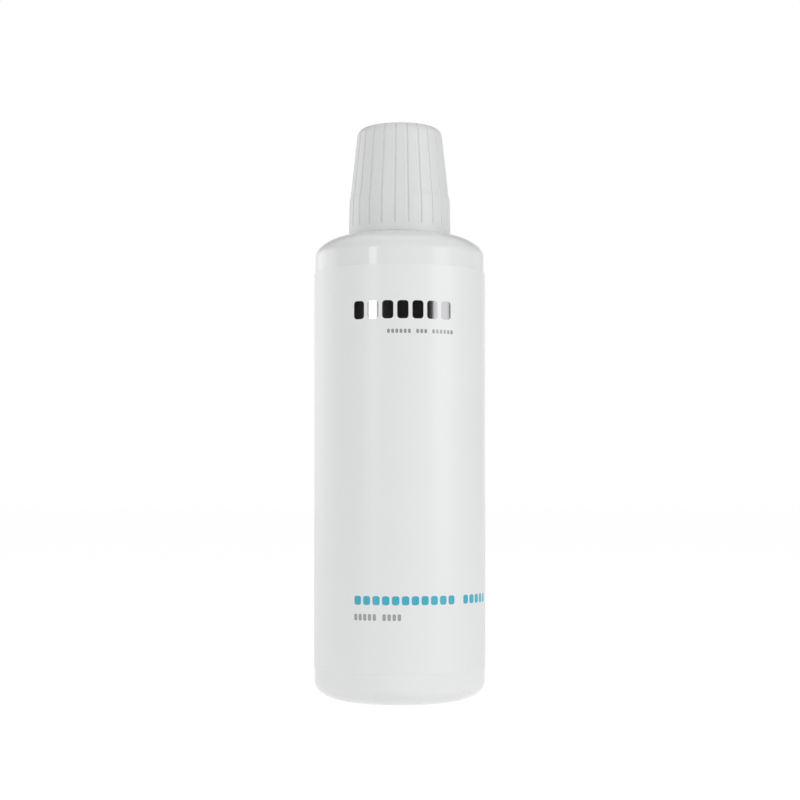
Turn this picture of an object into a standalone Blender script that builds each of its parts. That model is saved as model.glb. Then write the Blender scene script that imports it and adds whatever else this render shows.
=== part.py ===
"""Mouthwash bottle with a wraparound label and a fluted dosing cap.

The bottle is blow-moulded and round. The cap is one moulding that screws down on a foam
sealing ring and is turned over to serve as the dosing cup. Everything is turned about +Z.
The origin is the middle of the base, on the surface that the bottle stands on, and the
front faces -Y. Units are metres.
"""
import math

import bmesh
import bpy

MM = 0.001

# The gap between neighbours, the reach of a cut past its surface, and the weld distance
FIT_GAP = 0.3 * MM
CUT_OVERRUN = 1.0 * MM
MERGE_DISTANCE = 0.01 * MM

# Facets round the axis and along the curves, and the angle past which an edge stays sharp
BOTTLE_FACETS = 60
BODY_CORNER_STEPS = 9
BODY_BASE_STEPS = 5
CAVITY_CORNER_STEPS = 6
CAVITY_BASE_STEPS = 4
SMALL_ROUND_STEPS = 3
CAP_EDGE_STEPS = 4
GROOVE_STEPS = 6
GROOVE_COUNT = 24
FACETS_PER_PANEL = 3
SHARP_ANGLE = math.radians(32)

# Bottle: body, heel and base
BODY_RADIUS = 32.35 * MM
BODY_WALL = 1.0 * MM
HEEL_WIDTH = 14.2 * MM
HEEL_HEIGHT = 7.8 * MM
HEEL_FULLNESS_SHARE = 2.23
STANDING_RING_WIDTH = 3.2 * MM
PUSH_UP_HEIGHT = 3.6 * MM
PUSH_UP_FULLNESS_SHARE = 3.0

# Bottle: shoulder and neck
SHOULDER_TOP = 175.4 * MM
SHOULDER_HEIGHT = 8.5 * MM
SHOULDER_LAND_WIDTH = 2.75 * MM
SHOULDER_FULLNESS_SHARE = 1.75
NECK_RADIUS = 15.25 * MM
NECK_WALL = 1.65 * MM
NECK_HEIGHT = 14.5 * MM
NECK_LIP_ROUND = 0.5 * MM
NECK_ROOT_ROUND = 0.8 * MM

# Label, wrapped in a shallow recess of the body
LABEL_BOTTOM = 12.4 * MM
LABEL_TOP = 160.9 * MM
LABEL_THICKNESS = 0.25 * MM
LABEL_PROUD = 0.15 * MM
RECESS_MARGIN = 0.5 * MM

# Liquid
HEADSPACE = 7.7 * MM

# Foam sealing ring between the neck's lip and the cap's ledge
RING_THICKNESS = 1.0 * MM
RING_SETBACK = 0.3 * MM

# Cap: outside
CAP_SEAT_GAP = 0.3 * MM
CAP_HEIGHT = 40.3 * MM
CAP_SKIRT_HEIGHT = 12.6 * MM
CAP_SKIRT_WALL = 2.6 * MM
CAP_SKIRT_DRAFT = 0.3 * MM
CAP_STEP_HEIGHT = 2.0 * MM
CAP_STEP_INSET = 0.5 * MM
CAP_CONE_TAPER = 2.75 * MM
CAP_EDGE_ROUND = 3.4 * MM
CAP_FOOT_CHAMFER = 0.15 * MM

# Cap: grooves between the panels
GROOVE_WIDTH = 1.0 * MM
GROOVE_DEPTH_SKIRT = 0.9 * MM
GROOVE_DEPTH_KINK = 0.7 * MM
GROOVE_DEPTH_TOP = 0.5 * MM
GROOVE_FOOT = 2.1 * MM
GROOVE_RUN_OUT = 1.2 * MM
GROOVE_START_SHARE = 0.02
GROOVE_PHASE = math.radians(9.2)

# Cap: inside
THREAD_DEPTH = 1.05 * MM
THREAD_CLEARANCE = 0.45 * MM
BORE_CHAMFER = 0.5 * MM
LEDGE_THICKNESS = 1.6 * MM
LEDGE_SETBACK = 0.6 * MM
CUP_WALL_BASE = 2.3 * MM
CUP_WALL_TOP = 1.8 * MM
CAP_PANEL = 1.5 * MM
CUP_CORNER_ROUND = 2.0 * MM
DOSE_LINE_DEPTH = 14.6 * MM
DOSE_LINE_WIDTH = 0.7 * MM
DOSE_LINE_RELIEF = 0.25 * MM

# Sizes that follow from the ones above
LABEL_RADIUS = BODY_RADIUS + LABEL_PROUD
LABEL_INNER_RADIUS = LABEL_RADIUS - LABEL_THICKNESS
PANEL_RADIUS = LABEL_INNER_RADIUS - FIT_GAP
LAND_RADIUS = NECK_RADIUS + SHOULDER_LAND_WIDTH
SHOULDER_WIDTH = BODY_RADIUS - LAND_RADIUS
SHOULDER_START = SHOULDER_TOP - SHOULDER_HEIGHT
NECK_TOP = SHOULDER_TOP + NECK_HEIGHT
NECK_BORE_RADIUS = NECK_RADIUS - NECK_WALL
HEEL_RADIUS = BODY_RADIUS - HEEL_WIDTH
PUSH_UP_RADIUS = HEEL_RADIUS - STANDING_RING_WIDTH
FILL_LEVEL = SHOULDER_TOP - HEADSPACE

CAP_BORE_RADIUS = NECK_RADIUS + THREAD_DEPTH + THREAD_CLEARANCE
CAP_RADIUS = CAP_BORE_RADIUS + CAP_SKIRT_WALL
CAP_KINK_RADIUS = CAP_RADIUS - CAP_SKIRT_DRAFT
CAP_CONE_BASE = CAP_SKIRT_HEIGHT + CAP_STEP_HEIGHT
CAP_CONE_BASE_RADIUS = CAP_KINK_RADIUS - CAP_STEP_INSET
CAP_TOP_RADIUS = CAP_CONE_BASE_RADIUS - CAP_CONE_TAPER
CAP_SEAT = SHOULDER_TOP + CAP_SEAT_GAP
RING_SEAT = NECK_TOP + FIT_GAP
RING_OUTER_RADIUS = CAP_BORE_RADIUS - FIT_GAP
RING_INNER_RADIUS = NECK_BORE_RADIUS + RING_SETBACK
LEDGE_HEIGHT = RING_SEAT + RING_THICKNESS + FIT_GAP - CAP_SEAT
LEDGE_RADIUS = NECK_BORE_RADIUS + LEDGE_SETBACK
CUP_BASE = LEDGE_HEIGHT + LEDGE_THICKNESS
CUP_TOP = CAP_HEIGHT - CAP_PANEL


# Scene and materials

def clear_scene():
    for item in list(bpy.data.objects):
        bpy.data.objects.remove(item, do_unlink=True)


def make_collection(name):
    collection = bpy.data.collections.new(name)
    bpy.context.scene.collection.children.link(collection)
    return collection


def make_material(name, colour, roughness, metallic=0.0):
    material = bpy.data.materials.new(name)
    material.use_nodes = True
    shader = material.node_tree.nodes["Principled BSDF"]
    shader.inputs["Base Color"].default_value = (*colour, 1.0)
    shader.inputs["Roughness"].default_value = roughness
    shader.inputs["Metallic"].default_value = metallic
    return material


# Outlines, as (radius, height) points

def rounded_corner(centre_radius, centre_height, width, height, fullness, steps):
    """Points from the corner's vertical side round to its horizontal side.

    width may be positive or negative and so may height, which sets the quadrant.
    """
    points = []
    for step in range(steps + 1):
        angle = math.pi / 2 * step / steps
        across = math.cos(angle) ** (2 / fullness)
        along = math.sin(angle) ** (2 / fullness)
        points.append((centre_radius + width * across, centre_height + height * along))
    return points


def round_arc(centre_radius, centre_height, radius, start, end, steps):
    points = []
    for step in range(steps + 1):
        angle = start + (end - start) * step / steps
        points.append((centre_radius + radius * math.cos(angle),
                       centre_height + radius * math.sin(angle)))
    return points


def body_outline(inset, corner_steps, base_steps):
    """The body's surface, moved inwards by inset, from the neck down to the base's middle."""
    shoulder = rounded_corner(LAND_RADIUS, SHOULDER_START, SHOULDER_WIDTH - inset,
                              SHOULDER_HEIGHT - inset, SHOULDER_FULLNESS_SHARE, corner_steps)
    recess_top = LABEL_TOP + RECESS_MARGIN
    recess_bottom = LABEL_BOTTOM - RECESS_MARGIN
    step_height = BODY_RADIUS - PANEL_RADIUS
    side = [(BODY_RADIUS - inset, recess_top + step_height),
            (PANEL_RADIUS - inset, recess_top),
            (PANEL_RADIUS - inset, recess_bottom),
            (BODY_RADIUS - inset, recess_bottom - step_height)]
    heel = rounded_corner(HEEL_RADIUS, HEEL_HEIGHT, HEEL_WIDTH - inset, inset - HEEL_HEIGHT,
                          HEEL_FULLNESS_SHARE, corner_steps)
    base = []
    for step in range(base_steps + 1):
        share = 1 - step / base_steps
        base.append((PUSH_UP_RADIUS * share,
                     inset + PUSH_UP_HEIGHT * (1 - share ** PUSH_UP_FULLNESS_SHARE)))
    return shoulder[::-1] + side + heel + base


def cut_below(outline, level):
    """The part of a falling outline under a level, closed across to the axis."""
    below = [(0, level)]
    for upper, lower in zip(outline, outline[1:]):
        if upper[1] >= level > lower[1]:
            share = (upper[1] - level) / (upper[1] - lower[1])
            below.append((upper[0] + (lower[0] - upper[0]) * share, level))
        if lower[1] < level and len(below) > 1:
            below.append(lower)
    return below


# Meshes

def link_mesh(name, mesh, collection, material):
    item = bpy.data.objects.new(name, mesh)
    item.data.materials.append(material)
    collection.objects.link(item)
    return item


def turned(name, outline, facets, collection, material, closed=False):
    """A round piece: an outline in the XZ plane with a Screw modifier about Z."""
    corners = [(radius, 0, height) for radius, height in outline]
    edges = [(index, index + 1) for index in range(len(corners) - 1)]
    if closed:
        edges.append((len(corners) - 1, 0))
    mesh = bpy.data.meshes.new(name)
    mesh.from_pydata(corners, edges, [])
    item = link_mesh(name, mesh, collection, material)
    screw = item.modifiers.new("Turn", "SCREW")
    screw.axis = "Z"
    screw.angle = math.tau
    screw.steps = facets
    screw.render_steps = facets
    screw.use_merge_vertices = True
    screw.merge_threshold = MERGE_DISTANCE
    screw.use_smooth_shade = True
    return item


def smooth_with_sharp_edges(item):
    """Bake the modifiers into the mesh, then shade it smooth except at its real edges."""
    graph = bpy.context.evaluated_depsgraph_get()
    mesh = bpy.data.meshes.new_from_object(item.evaluated_get(graph))
    mesh.name = item.name
    item.modifiers.clear()
    item.data = mesh
    mesh.shade_smooth()
    mesh.set_sharp_from_angle(angle=SHARP_ANGLE)


def link_cutter(name, shape, collection):
    """Put a finished shape in the scene as a cutter, shown as wires and never rendered."""
    mesh = bpy.data.meshes.new(name)
    shape.to_mesh(mesh)
    shape.free()
    item = bpy.data.objects.new(name, mesh)
    item.hide_render = True
    item.display_type = "WIRE"
    collection.objects.link(item)
    return item


def cutter_loft(name, sections, collection):
    """A closed cutter through rings of points that all have the same count."""
    shape = bmesh.new()
    rings = [[shape.verts.new(point) for point in section] for section in sections]
    for lower, upper in zip(rings, rings[1:]):
        for index in range(len(lower)):
            following = (index + 1) % len(lower)
            shape.faces.new((lower[index], lower[following], upper[following], upper[index]))
    shape.faces.new(rings[0][::-1])
    shape.faces.new(rings[-1])
    bmesh.ops.recalc_face_normals(shape, faces=shape.faces)
    return link_cutter(name, shape, collection)


# Bottle

def make_bottle(collection):
    material = make_material("bottle_white_hdpe", (0.86, 0.87, 0.88), 0.22)
    lip = round_arc(NECK_RADIUS - NECK_LIP_ROUND, NECK_TOP - NECK_LIP_ROUND, NECK_LIP_ROUND,
                    math.pi / 2, 0, SMALL_ROUND_STEPS)
    root = round_arc(NECK_RADIUS + NECK_ROOT_ROUND, SHOULDER_TOP + NECK_ROOT_ROUND,
                     NECK_ROOT_ROUND, math.pi, 3 * math.pi / 2, SMALL_ROUND_STEPS)
    outside = lip + root + body_outline(0, BODY_CORNER_STEPS, BODY_BASE_STEPS)
    cavity = body_outline(BODY_WALL, CAVITY_CORNER_STEPS, CAVITY_BASE_STEPS)
    bore = [(NECK_BORE_RADIUS + NECK_LIP_ROUND, NECK_TOP),
            (NECK_BORE_RADIUS, NECK_TOP - NECK_LIP_ROUND),
            (NECK_BORE_RADIUS, SHOULDER_TOP - BODY_WALL)]
    climb = (bore + cavity)[::-1]
    bottle = turned("bottle", climb + outside, BOTTLE_FACETS, collection, material)
    smooth_with_sharp_edges(bottle)
    return bottle


# Label

def make_label(collection):
    material = make_material("label_satin_film", (0.82, 0.83, 0.84), 0.42)
    section = [(LABEL_INNER_RADIUS, LABEL_TOP), (LABEL_RADIUS, LABEL_TOP),
               (LABEL_RADIUS, LABEL_BOTTOM), (LABEL_INNER_RADIUS, LABEL_BOTTOM)]
    label = turned("label", section, BOTTLE_FACETS, collection, material, closed=True)
    smooth_with_sharp_edges(label)
    return label


# Mouthwash

def make_mouthwash(collection):
    material = make_material("mouthwash_clear", (0.72, 0.88, 0.9), 0.05)
    cavity = body_outline(BODY_WALL + FIT_GAP, CAVITY_CORNER_STEPS, CAVITY_BASE_STEPS)
    outline = cut_below(cavity, FILL_LEVEL)
    mouthwash = turned("mouthwash", outline, BOTTLE_FACETS, collection, material)
    smooth_with_sharp_edges(mouthwash)
    return mouthwash


# Sealing ring

def make_seal_ring(collection):
    material = make_material("seal_ring_foam", (0.9, 0.9, 0.88), 0.8)
    section = [(RING_INNER_RADIUS, RING_THICKNESS), (RING_OUTER_RADIUS, RING_THICKNESS),
               (RING_OUTER_RADIUS, 0), (RING_INNER_RADIUS, 0)]
    ring = turned("seal_ring", section, BOTTLE_FACETS, collection, material, closed=True)
    ring.location.z = RING_SEAT
    smooth_with_sharp_edges(ring)
    return ring


# Dosing cap, with heights measured up from its own foot

def cone_radius(height):
    """The outside radius of the panels at a height above the skirt's step."""
    share = (height - CAP_CONE_BASE) / (CAP_HEIGHT - CAP_CONE_BASE)
    return CAP_CONE_BASE_RADIUS - CAP_CONE_TAPER * share


def cup_radius(height):
    """The cup's inside radius at a height above the ledge."""
    share = (height - CUP_BASE) / (CUP_TOP - CUP_BASE)
    return cone_radius(height) - CUP_WALL_BASE + (CUP_WALL_BASE - CUP_WALL_TOP) * share


def cap_edge():
    """The rounding between the cap's flat top and its cone, from the top down."""
    slope = math.atan2(CAP_CONE_TAPER, CAP_HEIGHT - CAP_CONE_BASE)
    inset = CAP_EDGE_ROUND * (1 - math.sin(slope)) / math.cos(slope)
    return round_arc(CAP_TOP_RADIUS - inset, CAP_HEIGHT - CAP_EDGE_ROUND,
                     CAP_EDGE_ROUND, math.pi / 2, slope, CAP_EDGE_STEPS)


def cap_outline():
    outside = [(0, CAP_HEIGHT)] + cap_edge() + [
        (CAP_CONE_BASE_RADIUS, CAP_CONE_BASE),
        (CAP_KINK_RADIUS, CAP_SKIRT_HEIGHT),
        (CAP_RADIUS, CAP_FOOT_CHAMFER),
        (CAP_RADIUS - CAP_FOOT_CHAMFER, 0)]
    bore = [(CAP_BORE_RADIUS + BORE_CHAMFER, 0),
            (CAP_BORE_RADIUS, BORE_CHAMFER),
            (CAP_BORE_RADIUS, LEDGE_HEIGHT),
            (LEDGE_RADIUS, LEDGE_HEIGHT),
            (LEDGE_RADIUS, LEDGE_HEIGHT + LEDGE_THICKNESS / 2),
            (cup_radius(CUP_BASE), CUP_BASE)]
    line = CUP_TOP - DOSE_LINE_DEPTH
    half_line = DOSE_LINE_WIDTH / 2
    dose_line = [(cup_radius(line - half_line), line - half_line),
                 (cup_radius(line) - DOSE_LINE_RELIEF, line),
                 (cup_radius(line + half_line), line + half_line)]
    corner = round_arc(cup_radius(CUP_TOP) - CUP_CORNER_ROUND, CUP_TOP - CUP_CORNER_ROUND,
                       CUP_CORNER_ROUND, 0, math.pi / 2, SMALL_ROUND_STEPS)
    return outside + bore + dose_line + corner + [(0, CUP_TOP)]


def groove_section(angle, surface_radius, height, depth):
    """A rounded channel across the wall: its sides reach past the surface."""
    half_width = GROOVE_WIDTH / 2
    section = [(half_width, surface_radius + CUT_OVERRUN)]
    for step in range(GROOVE_STEPS + 1):
        turn = math.pi / 2 - math.pi * step / GROOVE_STEPS
        section.append((half_width * math.sin(turn), surface_radius - depth * math.cos(turn)))
    section.append((-half_width, surface_radius + CUT_OVERRUN))
    points = []
    for across, radius in section:
        points.append((radius * math.cos(angle) - across * math.sin(angle),
                       radius * math.sin(angle) + across * math.cos(angle), height))
    return points


def groove_cutter(index, cutters):
    """One groove, which climbs the skirt and the cone and runs out over the rounded edge."""
    angle = math.tau * index / GROOVE_COUNT
    edge = cap_edge()
    stations = [
        (CAP_RADIUS, GROOVE_FOOT, GROOVE_DEPTH_SKIRT * GROOVE_START_SHARE),
        (CAP_RADIUS, GROOVE_FOOT + GROOVE_RUN_OUT, GROOVE_DEPTH_SKIRT),
        (CAP_KINK_RADIUS, CAP_SKIRT_HEIGHT, GROOVE_DEPTH_KINK),
        (CAP_CONE_BASE_RADIUS, CAP_CONE_BASE, GROOVE_DEPTH_KINK)]
    stations += [(radius, height, GROOVE_DEPTH_TOP) for radius, height in edge[::-1]]
    stations.append((edge[0][0], CAP_HEIGHT + CUT_OVERRUN, GROOVE_DEPTH_TOP))
    sections = [groove_section(angle, radius, height, depth)
                for radius, height, depth in stations]
    return cutter_loft("groove_cutter_%02d" % index, sections, cutters)


def join_meshes(name, items, collection):
    """Put several cutters in one object, so that a single Boolean uses them all."""
    shape = bmesh.new()
    for item in items:
        shape.from_mesh(item.data)
        bpy.data.objects.remove(item, do_unlink=True)
    return link_cutter(name, shape, collection)


def make_cap(collection, cutters):
    material = make_material("cap_white_pp", (0.84, 0.85, 0.86), 0.3)
    facets = GROOVE_COUNT * FACETS_PER_PANEL
    cap = turned("cap", cap_outline(), facets, collection, material)
    grooves = join_meshes("groove_cutters",
                          [groove_cutter(index, cutters) for index in range(GROOVE_COUNT)],
                          cutters)
    grooves.location.z = CAP_SEAT
    grooves.rotation_euler.z = GROOVE_PHASE
    cap.location.z = CAP_SEAT
    cap.rotation_euler.z = GROOVE_PHASE
    cut = cap.modifiers.new("Grooves", "BOOLEAN")
    cut.operation = "DIFFERENCE"
    cut.solver = "EXACT"
    cut.object = grooves
    bpy.context.view_layer.update()
    smooth_with_sharp_edges(cap)
    return cap


def build():
    clear_scene()
    parts = make_collection("mouthwash_bottle")
    cutters = make_collection("cutters")
    make_bottle(parts)
    make_label(parts)
    make_mouthwash(parts)
    make_seal_ring(parts)
    make_cap(parts, cutters)


build()
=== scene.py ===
"""Looks of a round mouthwash bottle with a fluted dosing cap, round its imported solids.

The sections follow the bottle as it is made and filled: the blown bottle and the screw
thread on its neck, the label, the liquid, the foam ring, then the cap and its own thread.
The stage, the lamps and the camera come last. Units are metres, and the front faces -Y.
"""
import math

import bpy
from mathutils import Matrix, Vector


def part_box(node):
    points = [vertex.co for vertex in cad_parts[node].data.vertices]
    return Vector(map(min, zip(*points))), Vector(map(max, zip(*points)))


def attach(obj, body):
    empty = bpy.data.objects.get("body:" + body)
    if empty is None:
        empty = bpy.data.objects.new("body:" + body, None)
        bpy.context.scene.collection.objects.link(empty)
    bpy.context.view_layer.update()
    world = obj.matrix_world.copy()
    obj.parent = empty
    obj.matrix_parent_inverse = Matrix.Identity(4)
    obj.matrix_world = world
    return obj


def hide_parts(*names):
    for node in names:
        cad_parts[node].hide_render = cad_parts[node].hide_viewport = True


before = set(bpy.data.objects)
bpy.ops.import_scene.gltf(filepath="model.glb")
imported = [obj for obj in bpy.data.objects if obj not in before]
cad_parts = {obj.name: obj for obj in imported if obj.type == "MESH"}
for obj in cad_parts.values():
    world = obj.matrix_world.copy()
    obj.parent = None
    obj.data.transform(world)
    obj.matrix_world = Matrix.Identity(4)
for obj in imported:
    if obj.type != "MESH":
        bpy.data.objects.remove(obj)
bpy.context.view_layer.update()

# Blown bottle
# One hollow moulding in glossy white polyethylene with walls about a millimetre thick. It is
# blown between two mould halves, which leave a hairline up each side and a welded seam
# across the underside, and the heel and the shoulder are soft curves.
MM = 0.001
BOTTLE_COLUMNS = 256
SEAM_COLUMN_DEGREES = (0.12, 0.25, 0.5, 0.9)
WALL = 1.0 * MM
HEEL_WIDTH = 14.2 * MM
HEEL_HEIGHT = 7.8 * MM
HEEL_FULLNESS = 2.23
STANDING_RING_WIDTH = 3.2 * MM
STANDING_RING_ROUND = 0.5 * MM
PUSH_UP_HEIGHT = 3.6 * MM
PUSH_UP_FULLNESS = 3.0
SHOULDER_HEIGHT = 8.15 * MM
SHOULDER_LAND_WIDTH = 2.75 * MM
SHOULDER_FULLNESS = 1.85
NECK_RADIUS = 15.25 * MM
NECK_BORE = 13.6 * MM
NECK_HEIGHT = 14.85 * MM
LIP_ROUND = 0.5 * MM
NECK_ROOT_ROUND = 0.9 * MM
PARTING_HALF_WIDTH = 0.14 * MM
PARTING_RELIEF = 0.05 * MM
WELD_HALF_WIDTH = 0.45 * MM
WELD_RELIEF = 0.3 * MM
WELD_FADE = 2.0 * MM
STANDING_RING_LEAN_DEGREES = 215
SHARP_EDGE_DEGREES = 40
SHELF_WEAR_HEIGHT = 1.2 * MM
ON_AXIS = 0.001 * MM
FINE_STEPS = 28
ROUND_STEPS = 6
SMALL_ROUND_STEPS = 3

bottle_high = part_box("bottle")[1]
body_radius = bottle_high.x
neck_top = bottle_high.z
shoulder_top = neck_top - NECK_HEIGHT
shoulder_start = shoulder_top - SHOULDER_HEIGHT
land_radius = NECK_RADIUS + SHOULDER_LAND_WIDTH
heel_radius = body_radius - HEEL_WIDTH
push_up_radius = heel_radius - STANDING_RING_WIDTH


def full_corner(radius, height, width, rise, fullness, steps):
    """A corner's points, from its upright side round to its level one, fuller than an ellipse."""
    points = []
    for step in range(steps + 1):
        turn = math.pi / 2 * step / steps
        points.append((radius + width * math.cos(turn) ** (2 / fullness),
                       height + rise * math.sin(turn) ** (2 / fullness)))
    return points


def round_corner(radius, height, size, start, end, steps=ROUND_STEPS):
    """An arc's points about a centre, from one angle to the other in degrees."""
    points = []
    for step in range(steps + 1):
        turn = math.radians(start + (end - start) * step / steps)
        points.append((radius + size * math.cos(turn), height + size * math.sin(turn)))
    return points


def body_side(inset):
    """The body's outline from the land under the cap down to the middle of the base."""
    shoulder = full_corner(land_radius, shoulder_start, body_radius - land_radius - inset,
                           SHOULDER_HEIGHT - inset, SHOULDER_FULLNESS, FINE_STEPS)
    heel = full_corner(heel_radius, HEEL_HEIGHT, HEEL_WIDTH - inset, inset - HEEL_HEIGHT,
                       HEEL_FULLNESS, FINE_STEPS)
    dome = []
    for step in range(1, FINE_STEPS):
        share = 1 - step / FINE_STEPS
        lift = PUSH_UP_HEIGHT * (1 - share ** PUSH_UP_FULLNESS)
        dome.append((push_up_radius * share, inset + lift))
    ring = round_corner(push_up_radius + STANDING_RING_ROUND, inset + STANDING_RING_ROUND,
                        STANDING_RING_ROUND, 270, STANDING_RING_LEAN_DEGREES,
                        SMALL_ROUND_STEPS)
    return shoulder[::-1] + heel + ring + dome[1:] + [(0, inset + PUSH_UP_HEIGHT)]


def outline_leans(outline):
    """The outward direction at each point of an outline that has its outside on the left."""
    leans = []
    for index in range(len(outline)):
        before = outline[max(index - 1, 0)]
        after = outline[min(index + 1, len(outline) - 1)]
        across, up = before[1] - after[1], after[0] - before[0]
        size = math.hypot(across, up) or 1
        leans.append((across / size, up / size))
    return leans


def turned_mesh(name, outline, angles, relief=None):
    """An outline turned about the axis, top to bottom on its outer side.

    A point on the axis becomes one shared corner, and an outline that ends where it starts
    is closed on itself. relief(index, radius, height, angle) gives how far a corner stands
    proud of the outline.
    """
    corners, rows = [], []
    leans = outline_leans(outline)
    for index, (radius, height) in enumerate(outline):
        if index and outline[index] == outline[0]:
            rows.append(rows[0])
            continue
        on_axis = radius < ON_AXIS
        around = angles[:1] if on_axis else angles
        row = list(range(len(corners), len(corners) + len(around)))
        rows.append(row * len(angles) if on_axis else row)
        for angle in around:
            proud = relief(index, radius, height, angle) if relief else 0
            reach = radius + leans[index][0] * proud * (not on_axis)
            corners.append((reach * math.cos(angle), reach * math.sin(angle),
                            height + leans[index][1] * proud))
    faces = []
    for upper, lower in zip(rows, rows[1:]):
        for column in range(len(angles)):
            following = (column + 1) % len(angles)
            face = (upper[column], lower[column], lower[following], upper[following])
            faces.append(tuple(dict.fromkeys(face)))
    mesh = bpy.data.meshes.new(name)
    mesh.from_pydata(corners, [], faces)
    return mesh


def add_piece(name, mesh, material=None):
    """A finished piece at the origin, smooth apart from its real edges."""
    mesh.shade_smooth()
    mesh.set_sharp_from_angle(angle=math.radians(SHARP_EDGE_DEGREES))
    if material:
        mesh.materials.append(material)
    piece = bpy.data.objects.new(name, mesh)
    bpy.context.scene.collection.objects.link(piece)
    return piece


class Wire:
    """A value in a node tree. A sum on wires adds its Math nodes to the tree."""

    def __init__(self, graph, socket):
        self.graph = graph
        self.socket = socket

    def __add__(self, other):
        return self.graph.maths("ADD", self, other)

    def __sub__(self, other):
        return self.graph.maths("SUBTRACT", self, other)

    def __rsub__(self, other):
        return self.graph.maths("SUBTRACT", other, self)

    def __mul__(self, other):
        return self.graph.maths("MULTIPLY", self, other)

    def __truediv__(self, other):
        return self.graph.maths("DIVIDE", self, other)

    __radd__ = __add__
    __rmul__ = __mul__


class Graph:
    """A node tree while it is wired up: of a material, of the world or of a modifier."""

    def __init__(self, tree):
        self.tree = tree

    def node(self, kind, settings, values, output=0):
        """Add a node, its settings first and then its sockets' values or links."""
        made = self.tree.nodes.new(kind)
        for name, value in settings.items():
            setattr(made, name, value)
        for name, value in values.items():
            self.feed(made.inputs[name], value)
        return Wire(self, made.outputs[output]) if len(made.outputs) else made

    def feed(self, socket, value):
        if isinstance(value, Wire):
            self.tree.links.new(value.socket, socket)
        else:
            socket.default_value = value

    def maths(self, operation, *values):
        return self.node("ShaderNodeMath", {"operation": operation}, dict(enumerate(values)))

    def clamp(self, value):
        return self.node("ShaderNodeClamp", {}, {"Value": value})

    def cloud(self, place, size, detail):
        """Soft noise whose blots are about one size across, centred on a half."""
        return self.node("ShaderNodeTexNoise", {},
                         {"Vector": place, "Scale": 1 / size, "Detail": detail})

    def mix(self, share, colour, other):
        """One colour into another as a share goes from 0 to 1."""
        return self.node("ShaderNodeMix", {"data_type": "RGBA"}, {0: share, 6: colour, 7: other}, 2)


class Finish(Graph):
    """A material whose shader's sockets are fed by name, and which may carry a mirror."""

    def __init__(self, name):
        self.material = bpy.data.materials.new(name)
        self.material.use_nodes = True
        super().__init__(self.material.node_tree)
        self.shader = self.tree.nodes["Principled BSDF"]
        self.place = self.node("ShaderNodeTexCoord", {}, {}, "Object")

    def set(self, **sockets):
        for name, value in sockets.items():
            self.feed(self.shader.inputs[name.replace("_", " ")], value)

    def bump(self, height, depth):
        """Raise the surface by a height from 0 to 1 times a depth in metres."""
        self.set(Normal=self.node("ShaderNodeBump", {}, {"Height": height, "Distance": depth}))

    def mirror(self, share, colour, roughness):
        """Lay a smooth metal mirror over a share of the surface."""
        metal = self.node("ShaderNodeBsdfPrincipled", {},
                          {"Base Color": colour, "Metallic": 1, "Roughness": roughness})
        shown = self.node("ShaderNodeMixShader", {},
                          {0: share, 1: Wire(self, self.shader.outputs[0]), 2: metal})
        self.feed(self.tree.nodes["Material Output"].inputs["Surface"], shown)

    def along(self, axis):
        return self.node("ShaderNodeSeparateXYZ", {}, {"Vector": self.place}, axis)


def white_polyethylene():
    """Glossy blown plastic: a faint orange peel, cloudy gloss, and a base dulled by shelves."""
    finish = Finish("white_polyethylene")
    clouds = finish.cloud(finish.place, 14 * MM, 2)
    peel = finish.cloud(finish.place, 0.9 * MM, 2)
    scratches = finish.cloud(finish.place, 0.35 * MM, 6)
    worn = finish.clamp(1 - finish.along("Z") / SHELF_WEAR_HEIGHT)
    tone = finish.mix(clouds, (0.785, 0.79, 0.795, 1), (0.815, 0.82, 0.825, 1))
    finish.set(Base_Color=finish.mix(worn * scratches * 0.3, tone, (0.62, 0.62, 0.61, 1)),
               Roughness=0.07 + clouds * 0.05 + worn * scratches * 0.5)
    finish.bump(peel * 0.8 + clouds * 0.2 + worn * scratches * 2, 0.012 * MM)
    return finish.material


def mould_joint(index, radius, height, angle):
    """The parting line up the sides, and the wider weld across the underside."""
    across = abs(radius * math.sin(angle))
    if index >= outer_rows:
        return 0
    if radius < heel_radius + WELD_FADE and height < HEEL_HEIGHT:
        fade = min(1, max(0, (push_up_radius - radius) / WELD_FADE))
        return fade * WELD_RELIEF * max(0, 1 - (across / WELD_HALF_WIDTH) ** 2)
    under_label = abs(radius - body_radius) < PARTING_RELIEF
    relief = PARTING_RELIEF / 2 if under_label else PARTING_RELIEF
    return relief * max(0, 1 - (across / PARTING_HALF_WIDTH) ** 2)


lip = round_corner(NECK_RADIUS - LIP_ROUND, neck_top - LIP_ROUND, LIP_ROUND, 90, 0)
root = round_corner(NECK_RADIUS + NECK_ROOT_ROUND, shoulder_top + NECK_ROOT_ROUND,
                    NECK_ROOT_ROUND, 180, 270)
outside = lip + root + body_side(0)
outer_rows = len(outside)
bore = round_corner(NECK_BORE + NECK_ROOT_ROUND, shoulder_top - WALL + NECK_ROOT_ROUND,
                    NECK_ROOT_ROUND, 270, 180)
bore += round_corner(NECK_BORE + LIP_ROUND, neck_top - LIP_ROUND, LIP_ROUND, 180, 90)
inside = body_side(WALL)[::-1]
even_angles = [math.tau * column / BOTTLE_COLUMNS for column in range(BOTTLE_COLUMNS)]
seam_angles = [side + sign * math.radians(step) for side in (0, math.pi)
               for sign in (-1, 1) for step in SEAM_COLUMN_DEGREES]
bottle_angles = sorted(angle % math.tau for angle in even_angles + seam_angles)
bottle_mesh = turned_mesh("bottle_body", outside + inside + bore + lip[:1], bottle_angles,
                          mould_joint)
polyethylene = white_polyethylene()
bottle = add_piece("bottle_body", bottle_mesh, polyethylene)
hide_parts("bottle")
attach(bottle, "bottle")

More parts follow.
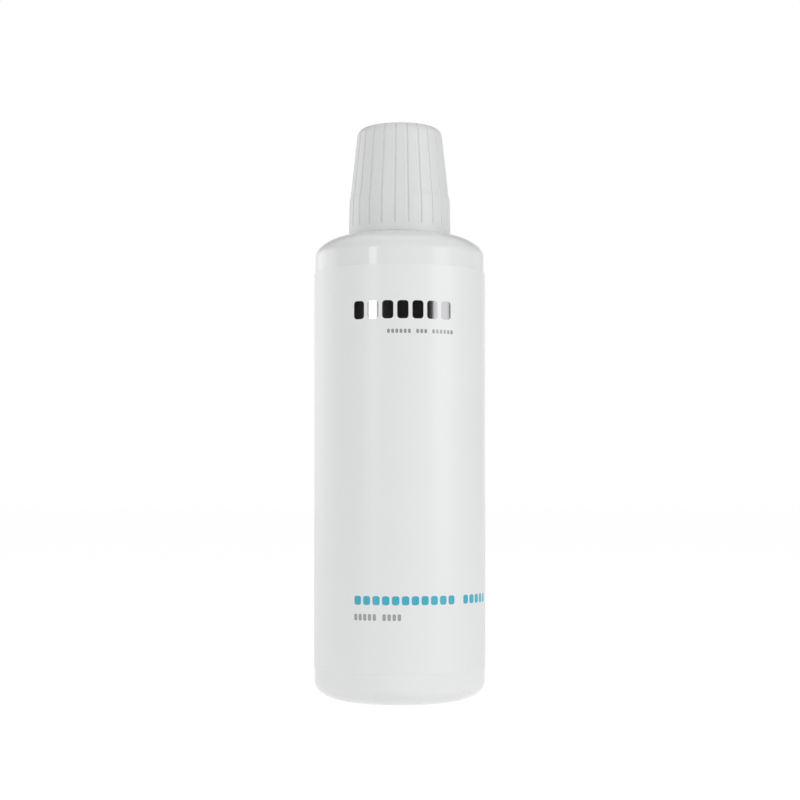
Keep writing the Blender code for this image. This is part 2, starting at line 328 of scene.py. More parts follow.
# Screw thread on the neck
# One right-handed ridge of a turn and a half, moulded with the neck. It fades out at both
# ends, and its flanks slope so that the mould opens.
INCH = 25.4 * MM
THREAD_PITCH = INCH / 6
NECK_THREAD_TURNS = 1.5
NECK_THREAD_DEPTH = 1.05 * MM
NECK_THREAD_ROOT_WIDTH = 2.2 * MM
NECK_THREAD_CREST_WIDTH = 1.0 * MM
NECK_THREAD_DROP = 2.5 * MM
THREAD_SINK = 0.2 * MM
THREAD_EDGE_ROUND = 0.22 * MM
THREAD_STEPS = 160
THREAD_FADE_TURNS = 0.09
THREAD_END_SCALE = 0.15


def geometry_tree(name, inputs):
    """An empty geometry tree, ready to be wired, and its named inputs."""
    tree = bpy.data.node_groups.new(name, "GeometryNodeTree")
    tree.is_modifier = True
    tree.interface.new_socket("Geometry", in_out="OUTPUT", socket_type="NodeSocketGeometry")
    for socket, kind in inputs.items():
        tree.interface.new_socket(socket, in_out="INPUT", socket_type="NodeSocket" + kind)
    graph = Graph(tree)
    given = tree.nodes.new("NodeGroupInput").outputs
    return tree, graph, {socket: Wire(graph, given[socket]) for socket in inputs}


def thread_tree():
    """Geometry nodes: a trapezium swept along a helix, shrunk at both ends."""
    lengths = ("Radius", "Pitch", "Turns", "Foot Height", "Inner Reach", "Outer Reach",
               "Inner Width", "Outer Width", "Edge Round", "Fade Turns")
    tree, graph, size = geometry_tree("screw_thread", {
        **dict.fromkeys(lengths, "Float"), "Steps": "Int", "Finish": "Material"})
    helix = graph.node("GeometryNodeCurveSpiral", {}, {
        "Resolution": size["Steps"], "Rotations": size["Turns"], "Start Radius": size["Radius"],
        "End Radius": size["Radius"], "Height": size["Pitch"] * size["Turns"], "Reverse": True})
    foot = graph.node("ShaderNodeCombineXYZ", {}, {"Z": size["Foot Height"]})
    helix = graph.node("GeometryNodeTransform", {}, {"Geometry": helix, "Translation": foot})
    helix = graph.node("GeometryNodeSetCurveNormal", {"mode": "Z_UP"}, {"Curve": helix})
    points = {}
    for number, side, half in ((1, "Inner", 0.5), (2, "Inner", -0.5),
                               (3, "Outer", -0.5), (4, "Outer", 0.5)):
        reach = size[side + " Reach"] * (-1 if side == "Inner" else 1)
        points["Point %d" % number] = graph.node(
            "ShaderNodeCombineXYZ", {}, {"X": reach, "Y": size[side + " Width"] * half})
    section = graph.node("GeometryNodeCurvePrimitiveQuadrilateral", {"mode": "POINTS"}, points)
    section = graph.node("GeometryNodeFilletCurve", {"mode": "POLY"}, {
        "Curve": section, "Count": SMALL_ROUND_STEPS, "Radius": size["Edge Round"]})
    along = graph.node("GeometryNodeSplineParameter", {}, {}, "Factor")
    nearest_end = graph.maths("MINIMUM", along, 1 - along) * size["Turns"] / size["Fade Turns"]
    fade = graph.node("ShaderNodeMapRange", {"interpolation_type": "SMOOTHSTEP"},
                      {"Value": nearest_end, "To Min": THREAD_END_SCALE})
    ridge = graph.node("GeometryNodeCurveToMesh", {}, {
        "Curve": helix, "Profile Curve": section, "Scale": fade, "Fill Caps": True})
    ridge = graph.node("GeometryNodeRealizeInstances", {}, {"Geometry": ridge})
    ridge = graph.node("GeometryNodeSetMaterial", {},
                       {"Geometry": ridge, "Material": size["Finish"]})
    graph.feed(tree.nodes.new("NodeGroupOutput").inputs[0], ridge)
    return tree


def grown_mesh(name, tree, sizes, start=None):
    """Run a geometry tree on an object by itself and keep the plain mesh it makes."""
    grower = bpy.data.objects.new(name + "_tree", start or bpy.data.meshes.new(name))
    bpy.context.scene.collection.objects.link(grower)
    modifier = grower.modifiers.new(tree.name, "NODES")
    modifier.node_group = tree
    for item in tree.interface.items_tree:
        if item.in_out == "INPUT" and item.name in sizes:
            modifier[item.identifier] = sizes[item.name]
    depsgraph = bpy.context.evaluated_depsgraph_get()
    mesh = bpy.data.meshes.new_from_object(grower.evaluated_get(depsgraph))
    mesh.name = name
    bpy.data.objects.remove(grower, do_unlink=True)
    return mesh


thread = thread_tree()
neck_thread_foot = neck_top - NECK_THREAD_DROP - THREAD_PITCH * NECK_THREAD_TURNS
neck_thread = add_piece("neck_thread", grown_mesh("neck_thread", thread, {
    "Radius": NECK_RADIUS, "Pitch": THREAD_PITCH, "Turns": NECK_THREAD_TURNS,
    "Foot Height": neck_thread_foot, "Inner Reach": THREAD_SINK,
    "Outer Reach": NECK_THREAD_DEPTH, "Inner Width": NECK_THREAD_ROOT_WIDTH,
    "Outer Width": NECK_THREAD_CREST_WIDTH, "Edge Round": THREAD_EDGE_ROUND,
    "Fade Turns": THREAD_FADE_TURNS, "Steps": THREAD_STEPS, "Finish": polyethylene}))
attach(neck_thread, "bottle")

# Label
# A satin white film wrapped once round the body, with its end lapped over its start at the
# back. Its marks are rows of plain tiles: mirror foil and grey above, turquoise and grey below.
FILM = 0.04 * MM
FILM_SINK = 0.05 * MM
LAP = 6.0 * MM
LAP_GAP = 0.005 * MM
LAP_CLIMB = 1.0 * MM
LABEL_STEPS = 300
PRINT_EDGE = 0.04 * MM
# A row of tiles in mm: left end, middle height, pitch, width, height, corner, and its groups
# as the first cell and the number of tiles.
FOIL_TILES = (-18.1, 144.4, 5.5, 4.1, 6.6, 1.2, ((0, 7),))
SMALL_TILES = (-4.83, 136.6, 1.515, 1.0, 1.5, 0.35, ((0, 6), (7, 3), (11, 6)))
TURQUOISE_TILES = (-17.69, 39.1, 3.604, 2.75, 3.3, 0.9, ((0, 11), (12, 5)))
GREY_TILES = (-17.6, 33.0, 1.84, 1.25, 2.4, 0.45, ((0, 5), (6, 4)))

label_low, label_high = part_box("label")
label_radius = label_high.x - FILM_SINK - FILM - LAP_GAP


def ease(share):
    """0 to 1 with a soft start and end."""
    share = min(1, max(0, share))
    return share * share * (3 - 2 * share)


def label_mesh():
    """One thin closed strip, wound a full turn and the lap, that climbs over its own start."""
    turn = math.tau + LAP / label_radius
    first = math.pi / 2 - LAP / label_radius / 2
    corners, faces = [], []
    for step in range(LABEL_STEPS + 1):
        swept = turn * step / LABEL_STEPS
        climb = ease(1 + (swept - math.tau) * label_radius / LAP_CLIMB)
        for radius in (label_radius - FILM, label_radius):
            reach = radius + climb * (FILM + LAP_GAP)
            for height in (label_low.z, label_high.z):
                corners.append((reach * math.cos(first + swept), reach * math.sin(first + swept),
                                height))
    for step in range(LABEL_STEPS):
        near, far = step * 4, step * 4 + 4
        for one, two in ((2, 3), (3, 1), (1, 0), (0, 2)):
            faces.append((near + one, far + one, far + two, near + two))
    end = LABEL_STEPS * 4
    faces.append((2, 3, 1, 0))
    faces.append((end, end + 1, end + 3, end + 2))
    mesh = bpy.data.meshes.new("label_film")
    mesh.from_pydata(corners, [], faces)
    return mesh


def tile_row(finish, arc, height, row):
    """1 on the tiles of an even row, which have round corners, and 0 off them."""
    start, level, pitch, width, tall, corner = (value * MM for value in row[:6])
    step = (arc - start) / pitch
    inside = sum(finish.maths("GREATER_THAN", step, first)
                 * finish.maths("LESS_THAN", step, first + count) for first, count in row[6])
    across = finish.maths("ABSOLUTE", finish.maths("FRACT", step) - 0.5) * pitch
    above = finish.maths("ABSOLUTE", height - level)
    past_side = finish.maths("MAXIMUM", across - (width / 2 - corner), 0)
    past_top = finish.maths("MAXIMUM", above - (tall / 2 - corner), 0)
    reach = finish.maths("SQRT", past_side * past_side + past_top * past_top)
    return inside * finish.clamp((corner - reach) / PRINT_EDGE + 0.5)


def printed_film():
    """Satin film with a fine grain, and its inks with their own colour and gloss."""
    finish = Finish("printed_film")
    height = finish.along("Z")
    sideways, depth = finish.along("X"), finish.along("Y")
    arc = finish.maths("ARCTAN2", sideways, depth * -1) * label_radius
    foil, small, turquoise, grey = (
        tile_row(finish, arc, height, row)
        for row in (FOIL_TILES, SMALL_TILES, TURQUOISE_TILES, GREY_TILES))
    clouds = finish.cloud(finish.place, 22 * MM, 2)
    grain = finish.cloud(finish.place, 0.25 * MM, 3)
    film = finish.mix(clouds, (0.795, 0.8, 0.805, 1), (0.82, 0.825, 0.83, 1))
    inked = finish.mix(grey * 0.9, film, (0.3, 0.305, 0.31, 1))
    inked = finish.mix(small * 0.95, inked, (0.35, 0.36, 0.37, 1))
    inked = finish.mix(turquoise, inked, (0.02, 0.41, 0.55, 1))
    inks = grey + small + turquoise
    finish.set(Base_Color=inked, Roughness=0.29 + clouds * 0.05 + grain * 0.03 - inks * 0.1)
    finish.bump(grain + foil * 0.6, 0.004 * MM)
    finish.mirror(foil + small * 0.2 + turquoise * 0.05, (0.62, 0.62, 0.63, 1), 0.13)
    return finish.material


label = add_piece("label_film", label_mesh(), printed_film())
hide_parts("label")
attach(label, "bottle")

# Mouthwash
# The liquid fills the body to just under the shoulder's top. It clings to the wall in a
# small meniscus, and it shows only through the open neck.
WETTED_GAP = 0.05 * MM
MENISCUS_RISE = 0.9 * MM
MENISCUS_REACH = 0.8 * MM
LIQUID_COLUMNS = 96

fill_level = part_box("mouthwash")[1].z


def liquid_outline():
    """The surface from the middle out and up to the wall, then down the wall's inside."""
    wall = [point for point in body_side(WALL + WETTED_GAP)
            if point[1] <= fill_level + MENISCUS_RISE]
    edge, wet_height = wall[0]
    surface = [(0, fill_level)]
    for step in range(1, FINE_STEPS):
        radius = edge * (1 - (1 - step / FINE_STEPS) ** 2)
        rise = (wet_height - fill_level) * math.exp((radius - edge) / MENISCUS_REACH)
        surface.append((radius, fill_level + rise))
    return surface + wall


def clear_liquid():
    """Pale aqua water with a slight unevenness in its tint."""
    finish = Finish("aqua_liquid")
    swirl = finish.cloud(finish.place, 18 * MM, 2)
    finish.set(Base_Color=finish.mix(swirl, (0.5, 0.84, 0.84, 1), (0.6, 0.9, 0.9, 1)),
               Roughness=0.02 + swirl * 0.02, IOR=1.333, Transmission_Weight=0.65)
    return finish.material


liquid_angles = [math.tau * column / LIQUID_COLUMNS for column in range(LIQUID_COLUMNS)]
liquid = add_piece("mouthwash_fill", turned_mesh("mouthwash_fill", liquid_outline(), liquid_angles),
                   clear_liquid())
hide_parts("mouthwash")
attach(liquid, "bottle")

# Foam sealing ring
# A punched ring of white closed-cell foam, held under the cap's ledge. The neck's lip
# presses into it, so its edges are a little rounded and its lower face has a faint dent.
RING_SWELL = 0.2 * MM
RING_EDGE_ROUND = 0.3 * MM
RING_BORE_GAP = 0.3 * MM
LIP_DENT = 0.06 * MM
LIP_DENT_HALF_WIDTH = 0.5 * MM
LIP_DENT_EDGE = 0.4 * MM
FOAM_CELLS_PER_METRE = 2600

ring_low, ring_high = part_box("seal_ring")
ring_outer = ring_high.x
ring_inner = NECK_BORE + RING_BORE_GAP
ring_foot = ring_low.z - RING_SWELL
ring_top = ring_high.z + RING_SWELL
ring_middle = (NECK_BORE + NECK_RADIUS) / 2


def ring_outline():
    """A rounded oblong, once round from its inner top corner, back to where it starts."""
    inner, outer = ring_inner + RING_EDGE_ROUND, ring_outer - RING_EDGE_ROUND
    low, high = ring_foot + RING_EDGE_ROUND, ring_top - RING_EDGE_ROUND
    dent_edge = LIP_DENT_HALF_WIDTH + LIP_DENT_EDGE
    dent = [(ring_middle + aside, ring_foot + rise)
            for aside, rise in ((dent_edge, 0), (LIP_DENT_HALF_WIDTH, LIP_DENT),
                                (-LIP_DENT_HALF_WIDTH, LIP_DENT), (-dent_edge, 0))]
    corners = [round_corner(*middle, RING_EDGE_ROUND, start, start - 90, SMALL_ROUND_STEPS)
               for middle, start in (((inner, high), 180), ((outer, high), 90),
                                     ((outer, low), 0), ((inner, low), -90))]
    outline = corners[0] + corners[1] + corners[2] + dent + corners[3]
    return outline + outline[:1]


def closed_cell_foam():
    """Matt foam: small domed cells all over."""
    finish = Finish("closed_cell_foam")
    cells = finish.node("ShaderNodeTexVoronoi", {},
                        {"Vector": finish.place, "Scale": FOAM_CELLS_PER_METRE})
    tint = finish.cloud(finish.place, 3 * MM, 3)
    finish.set(Base_Color=finish.mix(tint, (0.78, 0.78, 0.76, 1), (0.86, 0.86, 0.84, 1)),
               Roughness=0.8 + cells * 0.15)
    finish.bump(1 - cells, 0.05 * MM)
    return finish.material


ring = add_piece("foam_ring", turned_mesh("foam_ring", ring_outline(), even_angles),
                 closed_cell_foam())
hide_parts("seal_ring")
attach(ring, "seal_ring")

# Dosing cap
# One thick moulding in white polypropylene: an upright skirt over the thread, a small step, and
# a cone that tapers to a flat top with a gate mark. Twenty-four panels with grooves between
# them give the grip. Inside are the ledge for the foam ring, and the cup with its dose line.
PANELS = 24
FIRST_GROOVE = math.radians(9.2)
CAP_RADIUS = 19.27 * MM
SKIRT_HEIGHT = 12.6 * MM
SKIRT_DRAFT = 0.3 * MM
STEP_HEIGHT = 2.8 * MM
STEP_INSET = 0.5 * MM
STEP_ROWS = 7
CONE_TAPER = 2.75 * MM
CAP_EDGE_ROUND = 3.4 * MM
CAP_EDGE_ROWS = 16
CAP_FOOT_ROUND = 0.1 * MM
CAP_FOOT_DROP = 0.59 * MM
CAP_FOOT_STEPS = 4
TOP_DISH = 0.12 * MM
TOP_ROW_SHARES = (0.3, 0.5, 0.7, 0.85, 0.95)
GATE_RADIUS = 2.3 * MM
GATE_DEPTH = 0.3 * MM
GATE_STUB_RADIUS = 0.6 * MM
GROOVE_HALF_WIDTH = 0.5 * MM
GROOVE_DEPTH_SKIRT = 0.45 * MM
GROOVE_DEPTH_KINK = 0.4 * MM
GROOVE_DEPTH_TOP = 0.35 * MM
GROOVE_FOOT = 2.1 * MM
GROOVE_RUN_OUT = 1.2 * MM
GROOVE_RUN_OUT_ROWS = 8
GROOVE_START_ROWS = 4
GROOVE_COLUMN_SHARES = (0, 0.3, 0.55, 0.75, 0.88, 0.96, 1.02, 1.12, 1.3)
GROOVE_FORM_SHARES = (1, 0.954, 0.835, 0.661, 0.475, 0.27, 0.07, 0.015, 0)
PANEL_COLUMNS = 7
PANEL_WELD_DISTANCE = 0.0005 * MM
CONE_ROWS = [height * MM for height in (34, 30, 26, 22, 19, 17)]
SKIRT_ROWS = [height * MM for height in (11, 9, 7, 5, 4)]
LOWEST_SKIRT_ROW = 1.0 * MM
BORE_RADIUS = 16.75 * MM
BORE_CHAMFER = 0.5 * MM
BORE_ROWS = (6.0 * MM, 11.0 * MM)
LEDGE_HEIGHT = 15.8 * MM
LEDGE_THICKNESS = 1.6 * MM
LEDGE_RADIUS = 14.2 * MM
LEDGE_ROUND = 0.3 * MM
LEDGE_BACK_ROUND = 0.3 * MM
CUP_WALL_BASE = 2.3 * MM
CUP_WALL_TOP = 1.8 * MM
TOP_PANEL = 1.5 * MM
CUP_CORNER = 2.0 * MM
CUP_CORNER_STEPS = 8
CUP_ROWS = (28.0 * MM, 33.0 * MM)
CEILING_ROWS = (10.0 * MM, 5.0 * MM, 0)
DOSE_LINE_DEPTH = 14.6 * MM
DOSE_LINE_LEAD = 3.0 * MM
DOSE_LINE_HALF_WIDTH = 0.35 * MM
DOSE_LINE_RELIEF = 0.25 * MM
FLOW_MARK_SQUEEZE = 0.15

cap_low, cap_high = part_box("cap")
cap_foot = cap_low.z
cap_height = cap_high.z - cap_low.z
cone_base = SKIRT_HEIGHT + STEP_HEIGHT
cone_base_radius = CAP_RADIUS - SKIRT_DRAFT - STEP_INSET
cone_height = cap_height - cone_base
cone_slope = math.degrees(math.atan2(CONE_TAPER, cone_height))
panel_angle = math.tau / PANELS


def cone_radius(height):
    return cone_base_radius - CONE_TAPER * (height - cone_base) / cone_height


def skirt_radius(height):
    return CAP_RADIUS - SKIRT_DRAFT * height / SKIRT_HEIGHT


def cap_top_rows():
    """Rows from the middle of the top out over the rounded edge.

    A row holds its radius and height, and how far a groove goes in and down there.
    """
    edge_inset = CAP_EDGE_ROUND * (1 - math.sin(math.radians(cone_slope))) / math.cos(
        math.radians(cone_slope))
    edge_radius = cone_radius(cap_height) - edge_inset
    stub = [(0, -GATE_DEPTH * 0.4), (GATE_STUB_RADIUS * 0.6, -GATE_DEPTH * 0.45),
            (GATE_STUB_RADIUS, -GATE_DEPTH * 0.9), (GATE_STUB_RADIUS * 1.3, -GATE_DEPTH),
            (GATE_RADIUS * 0.85, -GATE_DEPTH), (GATE_RADIUS, 0)]
    rows = []
    for radius, drop in stub:
        dish = TOP_DISH * (1 - (radius / edge_radius) ** 2)
        rows.append((radius, cap_height + drop - dish, 0, 0))
    for share in TOP_ROW_SHARES:
        dish = TOP_DISH * (1 - share ** 2)
        rows.append((edge_radius * share, cap_height - dish, 0, 0))
    edge = round_corner(edge_radius, cap_height - CAP_EDGE_ROUND, CAP_EDGE_ROUND,
                        90, cone_slope, CAP_EDGE_ROWS)
    for step, point in enumerate(edge):
        depth = GROOVE_DEPTH_TOP * min(1, step / GROOVE_START_ROWS)
        slope = math.radians(90 + (cone_slope - 90) * step / CAP_EDGE_ROWS)
        rows.append((*point, depth * math.cos(slope), depth * math.sin(slope)))
    return rows


def groove_depth(height):
    """How deep a groove is at a height. It deepens downwards and runs out above the foot."""
    up_cone = max(0, (height - cone_base) / cone_height)
    down_skirt = max(0, 1 - height / SKIRT_HEIGHT)
    depth = (GROOVE_DEPTH_KINK + (GROOVE_DEPTH_TOP - GROOVE_DEPTH_KINK) * up_cone
             + (GROOVE_DEPTH_SKIRT - GROOVE_DEPTH_KINK) * down_skirt)
    run_out = min(1, max(0, (height - GROOVE_FOOT) / GROOVE_RUN_OUT))
    return depth * math.sqrt(1 - (1 - run_out) ** 2)


def cap_side_rows():
    """Down the cone, the step and the skirt to the foot, where a groove only goes in."""
    rows = [(cone_radius(height), height, groove_depth(height)) for height in CONE_ROWS]
    for row in range(STEP_ROWS):
        share = row / (STEP_ROWS - 1)
        rows.append((cone_base_radius + STEP_INSET * ease(share),
                     cone_base - STEP_HEIGHT * share, GROOVE_DEPTH_KINK))
    run_out = [GROOVE_FOOT + GROOVE_RUN_OUT * (1 - step / GROOVE_RUN_OUT_ROWS) ** 2
               for step in range(GROOVE_RUN_OUT_ROWS + 1)]
    for height in (*SKIRT_ROWS, *run_out, LOWEST_SKIRT_ROW):
        rows.append((skirt_radius(height), height, groove_depth(height)))
    for point in round_corner(CAP_RADIUS - CAP_FOOT_ROUND, CAP_FOOT_ROUND - CAP_FOOT_DROP,
                              CAP_FOOT_ROUND, 0, -90, CAP_FOOT_STEPS):
        rows.append((*point, 0))
    return [(*row, 0) for row in rows]


def cup_radius(height):
    """The cup's inner wall, which thins from the ledge to the top."""
    base = LEDGE_HEIGHT + LEDGE_THICKNESS
    share = (height - base) / (cap_height - TOP_PANEL - base)
    return cone_radius(height) - CUP_WALL_BASE + (CUP_WALL_BASE - CUP_WALL_TOP) * share


def cap_inner_rows():
    """Up the bore, round the ledge, and up the cup to the middle of its ceiling."""
    ledge_top = LEDGE_HEIGHT + LEDGE_THICKNESS
    ceiling = cap_height - TOP_PANEL
    points = [(BORE_RADIUS + BORE_CHAMFER, -CAP_FOOT_DROP),
              (BORE_RADIUS + BORE_CHAMFER * 0.3, BORE_CHAMFER * 0.6),
              (BORE_RADIUS, BORE_CHAMFER * 1.3)]
    points += [(BORE_RADIUS, height) for height in BORE_ROWS]
    points += round_corner(BORE_RADIUS - LEDGE_ROUND, LEDGE_HEIGHT - LEDGE_ROUND, LEDGE_ROUND,
                           0, 90, SMALL_ROUND_STEPS)
    points += round_corner(LEDGE_RADIUS + LEDGE_ROUND, LEDGE_HEIGHT + LEDGE_ROUND, LEDGE_ROUND,
                           270, 180, SMALL_ROUND_STEPS + 1)
    points += [(LEDGE_RADIUS, LEDGE_HEIGHT + LEDGE_THICKNESS * 0.5),
               (LEDGE_RADIUS + LEDGE_BACK_ROUND / 2, LEDGE_HEIGHT + LEDGE_THICKNESS * 0.62),
               (cup_radius(ledge_top) - LEDGE_BACK_ROUND, ledge_top - LEDGE_BACK_ROUND / 3),
               (cup_radius(ledge_top + LEDGE_BACK_ROUND), ledge_top + LEDGE_BACK_ROUND)]
    line = ceiling - DOSE_LINE_DEPTH
    points.append((cup_radius(line - DOSE_LINE_LEAD), line - DOSE_LINE_LEAD))
    for share in (-1, -0.6, -0.25, 0.25, 0.6, 1):
        height = line + DOSE_LINE_HALF_WIDTH * share
        points.append((cup_radius(height) - DOSE_LINE_RELIEF * (1 - share ** 2), height))
    points += [(cup_radius(height), height) for height in CUP_ROWS]
    points += round_corner(cup_radius(ceiling - CUP_CORNER) - CUP_CORNER, ceiling - CUP_CORNER,
                           CUP_CORNER, 0, 90, CUP_CORNER_STEPS)
    points += [(radius, ceiling) for radius in CEILING_ROWS]
    return [(*point, 0, 0) for point in points]


def cap_panel_mesh():
    """One panel from the middle of a groove to the middle of the next, all round its wall."""
    corners, ids = [], []
    for radius, height, depth, drop in cap_top_rows() + cap_side_rows() + cap_inner_rows():
        if radius < ON_AXIS:
            ids.append([len(corners)] * (2 * len(GROOVE_COLUMN_SHARES) + PANEL_COLUMNS))
            corners.append((0, 0, cap_foot + height))
            continue
        half_groove = min(GROOVE_HALF_WIDTH / radius, panel_angle / 4)
        left = [(half_groove * share, form)
                for share, form in zip(GROOVE_COLUMN_SHARES, GROOVE_FORM_SHARES)]
        start = left[-1][0]
        middle = [(start + (panel_angle - 2 * start) * (step + 1) / (PANEL_COLUMNS + 1), 0)
                  for step in range(PANEL_COLUMNS)]
        right = [(panel_angle - angle, form) for angle, form in left[::-1]]
        columns = left + middle + right
        ids.append(range(len(corners), len(corners) + len(columns)))
        for angle, form in columns:
            reach = radius - depth * form
            corners.append((reach * math.cos(angle), reach * math.sin(angle),
                            cap_foot + height - drop * form))
    faces = []
    for upper, lower in zip(ids, ids[1:]):
        for column in range(len(upper) - 1):
            face = (upper[column], lower[column], lower[column + 1], upper[column + 1])
            faces.append(tuple(dict.fromkeys(face)))
    mesh = bpy.data.meshes.new("cap_panel")
    mesh.from_pydata(corners, [], faces)
    return mesh


def ring_of_panels():
    """Geometry nodes: one panel set round the axis, and all of them welded to a closed cap."""
    tree, graph, size = geometry_tree("panels_round_cap", {
        "Panel": "Geometry", "Panels": "Int", "First Angle": "Float",
        "Weld Distance": "Float", "Finish": "Material"})
    points = graph.node("GeometryNodePoints", {}, {"Count": size["Panels"]})
    number = graph.node("GeometryNodeInputIndex", {}, {})
    step = graph.maths("DIVIDE", math.tau, size["Panels"])
    turn = graph.node("ShaderNodeCombineXYZ", {}, {"Z": number * step + size["First Angle"]})
    panels = graph.node("GeometryNodeInstanceOnPoints", {},
                        {"Points": points, "Instance": size["Panel"], "Rotation": turn})
    panels = graph.node("GeometryNodeRealizeInstances", {}, {"Geometry": panels})
    shell = graph.node("GeometryNodeMergeByDistance", {},
                       {"Geometry": panels, "Distance": size["Weld Distance"]})
    shell = graph.node("GeometryNodeSetMaterial", {},
                       {"Geometry": shell, "Material": size["Finish"]})
    graph.feed(tree.nodes.new("NodeGroupOutput").inputs[0], shell)
    return tree


def white_polypropylene():
    """Semi-gloss moulded plastic: a fine spark-eroded grain and soft flow marks up the wall."""
    finish = Finish("white_polypropylene")
    clouds = finish.cloud(finish.place, 11 * MM, 2)
    stretched = finish.node("ShaderNodeMapping", {}, {
        "Vector": finish.place, "Scale": (1, 1, FLOW_MARK_SQUEEZE)})
    flow = finish.cloud(stretched, 4 * MM, 3)
    grain = finish.cloud(finish.place, 0.18 * MM, 2)
    finish.set(Base_Color=finish.mix(clouds * 0.6 + flow * 0.4, (0.72, 0.725, 0.73, 1),
                                     (0.755, 0.76, 0.765, 1)),
               Roughness=0.36 + flow * 0.07 + grain * 0.04)
    finish.bump(grain * 0.8 + flow * 0.5, 0.008 * MM)
    return finish.material


polypropylene = white_polypropylene()
cap_mesh = grown_mesh("dosing_cap", ring_of_panels(), {
    "Panels": PANELS, "First Angle": FIRST_GROOVE, "Weld Distance": PANEL_WELD_DISTANCE,
    "Finish": polypropylene}, cap_panel_mesh())
cap = add_piece("dosing_cap", cap_mesh)
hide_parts("cap")
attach(cap, "cap")

# Thread inside the cap
# The matching ridge of a turn and a quarter, moulded in the skirt's bore. When the cap is
# home it lies just under the neck's thread and pulls against it.
CAP_THREAD_TURNS = 1.25
CAP_THREAD_DEPTH = 1.0 * MM
CAP_THREAD_ROOT_WIDTH = 1.9 * MM
CAP_THREAD_CREST_WIDTH = 0.8 * MM
CAP_THREAD_BELOW = 1.56 * MM

cap_thread = add_piece("cap_thread", grown_mesh("cap_thread", thread, {
    "Radius": BORE_RADIUS, "Pitch": THREAD_PITCH, "Turns": CAP_THREAD_TURNS,
    "Foot Height": neck_thread_foot - CAP_THREAD_BELOW, "Inner Reach": CAP_THREAD_DEPTH,
    "Outer Reach": THREAD_SINK, "Inner Width": CAP_THREAD_CREST_WIDTH,
    "Outer Width": CAP_THREAD_ROOT_WIDTH, "Edge Round": THREAD_EDGE_ROUND,
    "Fade Turns": THREAD_FADE_TURNS, "Steps": THREAD_STEPS, "Finish": polypropylene}))
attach(cap_thread, "cap")

# Floor and white surroundings
# A plain pale floor in a white studio. The camera sees both as white, and the floor keeps a
# faint shadow. It also throws light back up at the bottle, as a white table does. Reflections
# show the floor white, and the studio dark apart from a few white patches.
FLOOR_HALF_SIZE = 20
FLOOR_DROP = 0.05 * MM
FLOOR_COLOUR = (0.35, 0.35, 0.35, 1)
FLOOR_BOUNCE = 0.6
FLOOR_GLOW = 0.93
FLOOR_SHADOW_SHARE = 0.14
FILL = 0.405
FILL_LEAN = (-0.32, -0.4, 0.06)
# The white patches that the gloss mirrors: direction, edge, middle and strength.
WHITE_PATCHES = (((-0.866, 0.5, 0), 0.8, 1, 1.42), ((-0.574, 0.819, 0), 0.8, 1, 0.6),
                 ((0, 1, 0), 0.8, 1, 1.05), ((0.574, 0.819, 0), 0.8, 1, 0.6),
                 ((0, 0.3, 0.954), 0.6, 1.2, 1.7))


def ray_kinds(graph):
    """1 or 0 each for a ray from the camera, from a reflection and through clear liquid."""
    path = graph.tree.nodes.new("ShaderNodeLightPath")
    return [Wire(graph, path.outputs[name])
            for name in ("Is Camera Ray", "Is Glossy Ray", "Is Transmission Ray")]


def pale_floor():
    """White with a faint shadow where it is seen, and a pale matt glow to scattered light."""
    material = bpy.data.materials.new("pale_floor")
    material.use_nodes = True
    material.node_tree.nodes.clear()
    graph = Graph(material.node_tree)
    camera_ray, glossy_ray, transmission_ray = ray_kinds(graph)
    seen = graph.clamp(camera_ray + glossy_ray + transmission_ray)
    matt = graph.node("ShaderNodeBsdfDiffuse", {}, {"Color": FLOOR_COLOUR})
    bounce = graph.node("ShaderNodeEmission", {}, {"Strength": FLOOR_BOUNCE})
    pale = graph.node("ShaderNodeAddShader", {}, {0: matt, 1: bounce})
    faint = [FLOOR_SHADOW_SHARE] * 3 + [1]
    shadow = graph.node("ShaderNodeBsdfDiffuse", {}, {"Color": faint})
    glow = graph.node("ShaderNodeEmission", {}, {"Strength": FLOOR_GLOW})
    white = graph.node("ShaderNodeAddShader", {}, {0: shadow, 1: glow})
    shown = graph.node("ShaderNodeMixShader", {}, {0: seen, 1: pale, 2: white})
    graph.node("ShaderNodeOutputMaterial", {}, {"Surface": shown})
    return material


def white_world():
    """White to the camera. Scattered light leans a little, and mirrors see the white patches."""
    world = bpy.data.worlds.new("white_studio")
    world.use_nodes = True
    world.node_tree.nodes.clear()
    world.cycles.sampling_method = "NONE"
    graph = Graph(world.node_tree)
    camera_ray, glossy_ray, transmission_ray = ray_kinds(graph)
    direction = graph.node("ShaderNodeTexCoord", {}, {}, "Generated")
    lean, *facing = (graph.node("ShaderNodeVectorMath", {"operation": "DOT_PRODUCT"},
                                {0: direction, 1: towards}, "Value")
                     for towards in (FILL_LEAN, *(patch[0] for patch in WHITE_PATCHES)))
    white = sum(graph.node("ShaderNodeMapRange", {"interpolation_type": "SMOOTHSTEP"},
                           {"Value": near, "From Min": edge, "From Max": middle}) * strength
                for near, (_, edge, middle, strength) in zip(facing, WHITE_PATCHES))
    mirrored = graph.clamp(glossy_ray + transmission_ray)
    fill = lean + FILL
    scattered = fill + mirrored * (white - fill)
    strength = scattered + camera_ray * (1 - scattered)
    light = graph.node("ShaderNodeBackground", {}, {"Color": (1, 1, 1, 1), "Strength": strength})
    graph.node("ShaderNodeOutputWorld", {}, {"Surface": light})
    return world


floor_mesh = bpy.data.meshes.new("floor")
floor_mesh.from_pydata([(x * FLOOR_HALF_SIZE, y * FLOOR_HALF_SIZE, -FLOOR_DROP)
                        for x, y in ((-1, -1), (1, -1), (1, 1), (-1, 1))], [], [(0, 1, 2, 3)])
floor_mesh.materials.append(pale_floor())
floor = bpy.data.objects.new("floor", floor_mesh)
bpy.context.scene.collection.objects.link(floor)
bpy.context.scene.world = white_world()

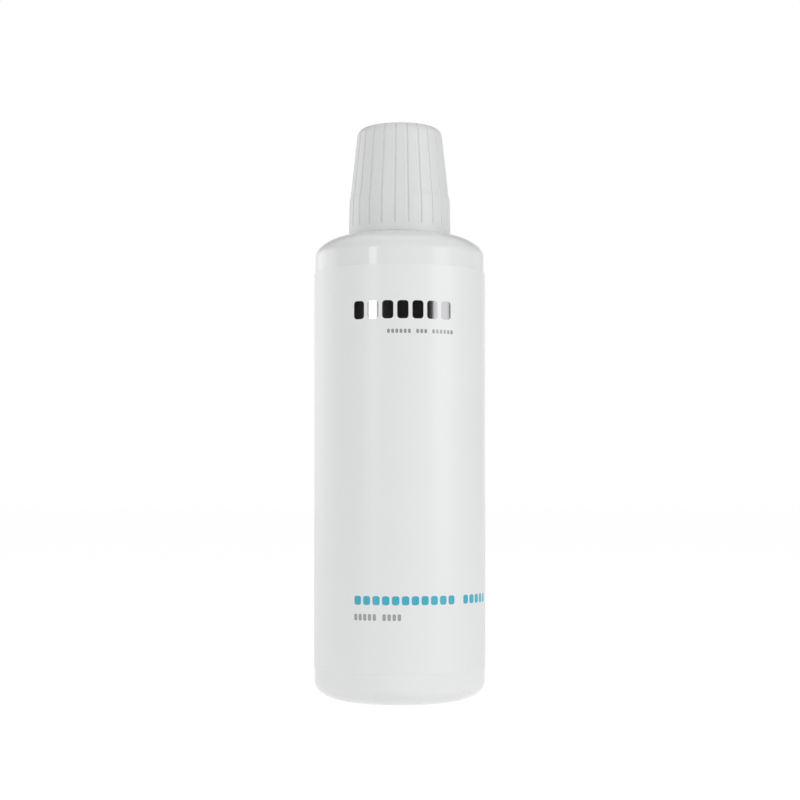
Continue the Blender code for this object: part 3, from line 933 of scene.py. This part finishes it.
# Lamps
# Four upright soft panels. Two strips, the narrower one to the left of the camera, show only in
# the gloss and give the bottle its long highlights. Two keys light its matt body from the sides.
MATT = {"visible_diffuse": True, "visible_glossy": False}
GLOSS = {"visible_diffuse": False, "visible_glossy": True}


def soft_panel(name, seen_in, azimuth, distance, height, width, tall, brightness):
    """An upright soft panel that faces the bottle. Azimuth 0 is in front and 90 at the right."""
    lamp = bpy.data.lights.new(name, "AREA")
    lamp.shape = "RECTANGLE"
    lamp.size = width
    lamp.size_y = tall
    lamp.energy = brightness * math.pi * width * tall
    panel = bpy.data.objects.new(name, lamp)
    turn = math.radians(azimuth)
    panel.location = (distance * math.sin(turn), -distance * math.cos(turn), height)
    panel.rotation_euler = (math.pi / 2, 0, turn)
    panel.visible_camera = False
    for ray, seen in seen_in.items():
        setattr(panel, ray, seen)
    bpy.context.scene.collection.objects.link(panel)


soft_panel("right_strip", GLOSS, azimuth=56.4, distance=1.1, height=0.27, width=0.46, tall=0.7,
           brightness=1.05)
soft_panel("left_strip", GLOSS, azimuth=-35.4, distance=1.1, height=0.3, width=0.2, tall=0.54,
           brightness=2.9)
soft_panel("right_key", MATT, azimuth=60, distance=1.3, height=0.5, width=0.9, tall=1.2,
           brightness=2.65)
soft_panel("left_key", MATT, azimuth=-75, distance=1.3, height=0.5, width=0.9, tall=1.2,
           brightness=0.68)

# Camera
# Level with the lower half of the bottle, straight in front, as the photograph was taken.
LENS = 79.24
SENSOR = 36
CAMERA_DISTANCE = 0.668
CAMERA_HEIGHT = 0.0755
IMAGE_SIZE = 800
HORIZON_ROW = 500
AXIS_COLUMN = 399.7

camera_data = bpy.data.cameras.new("camera")
camera_data.lens = LENS
camera_data.sensor_width = SENSOR
camera_data.shift_x = 0.5 - AXIS_COLUMN / IMAGE_SIZE
camera_data.shift_y = HORIZON_ROW / IMAGE_SIZE - 0.5
camera = bpy.data.objects.new("camera", camera_data)
camera.location = (0, -CAMERA_DISTANCE, CAMERA_HEIGHT)
camera.rotation_euler = (math.pi / 2, 0, 0)
bpy.context.scene.collection.objects.link(camera)
bpy.context.scene.camera = camera
bpy.context.scene.view_settings.view_transform = "Standard"
